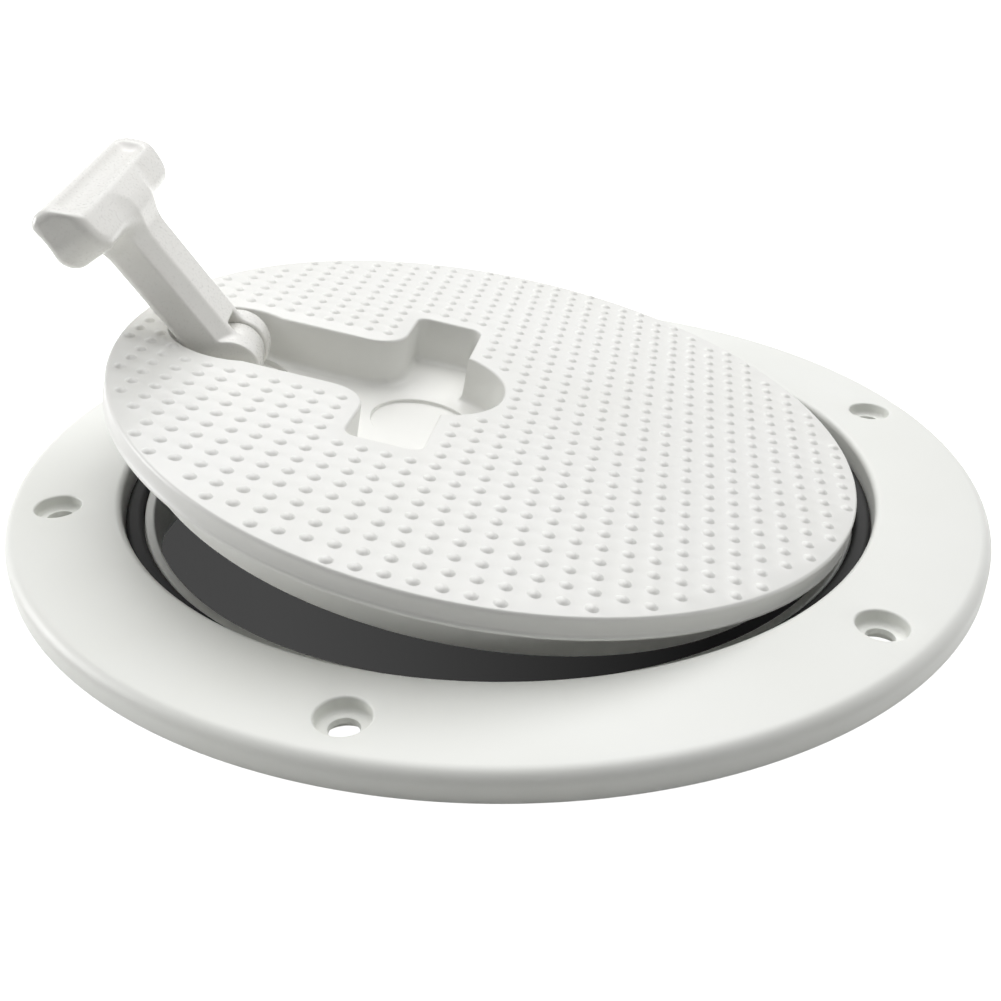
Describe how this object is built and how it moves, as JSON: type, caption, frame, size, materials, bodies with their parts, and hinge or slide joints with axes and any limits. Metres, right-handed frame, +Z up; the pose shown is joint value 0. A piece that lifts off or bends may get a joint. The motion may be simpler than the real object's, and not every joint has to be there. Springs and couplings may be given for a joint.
{
  "type": "deck access hatch",
  "caption": "Round white deck hatch: flanged frame with a seal channel and a lift-out studded lid whose folding T handle turns a latch arm under the frame.",
  "frame": {"origin": "middle of the frame, on the deck plane under the flange", "axes": "+Z up out of the deck, -X towards the handle's side of the frame, +X towards the heel of the lid"},
  "size_m": [0.206, 0.206, 0.0883],
  "materials": {
    "white_plastic": "moulded, satin",
    "lid_plastic": "moulded, fine matt grain",
    "handle_plastic": "moulded, satin",
    "arm_plastic": "moulded, glass filled",
    "washer_nylon": "moulded",
    "black_rubber": "smooth",
    "stainless_steel": "turned"
  },
  "bodies": {
    "frame_body": {"frame": "white_plastic", "lid_seal": "black_rubber"},
    "lid_body": {"lid": "lid_plastic", "spindle_o_ring": "black_rubber"},
    "spindle_body": {"latch_spindle": "white_plastic", "handle_pin": "stainless_steel", "thrust_washer": "washer_nylon", "latch_arm": "arm_plastic", "arm_washer": "stainless_steel", "arm_screw": "stainless_steel"},
    "handle_body": {"handle": "handle_plastic"}
  },
  "joints": [
    {"name": "lid_tilt", "type": "hinge", "parent": "frame_body", "child": "lid_body", "pos_m": [0.0775, 0, 0.0198], "axis": [0, 1, 0], "range_deg": [-10.33, 30]},
    {"name": "spindle_turn", "type": "hinge", "parent": "lid_body", "child": "spindle_body", "pos_m": [-0.05828, 0, 0.03052], "axis": [0.1793, 0, 0.9838], "range_deg": [-12.2, 0]},
    {"name": "handle_fold", "type": "hinge", "parent": "spindle_body", "child": "handle_body", "pos_m": [-0.05921, 0, 0.02541], "axis": [-0.2079, 0.9774, 0.0379], "range_deg": [0, 132.8]}
  ],
  "couplings": [
    {"joint": "spindle_turn", "follows": "handle_fold", "ratio": -0.091867}
  ]
}
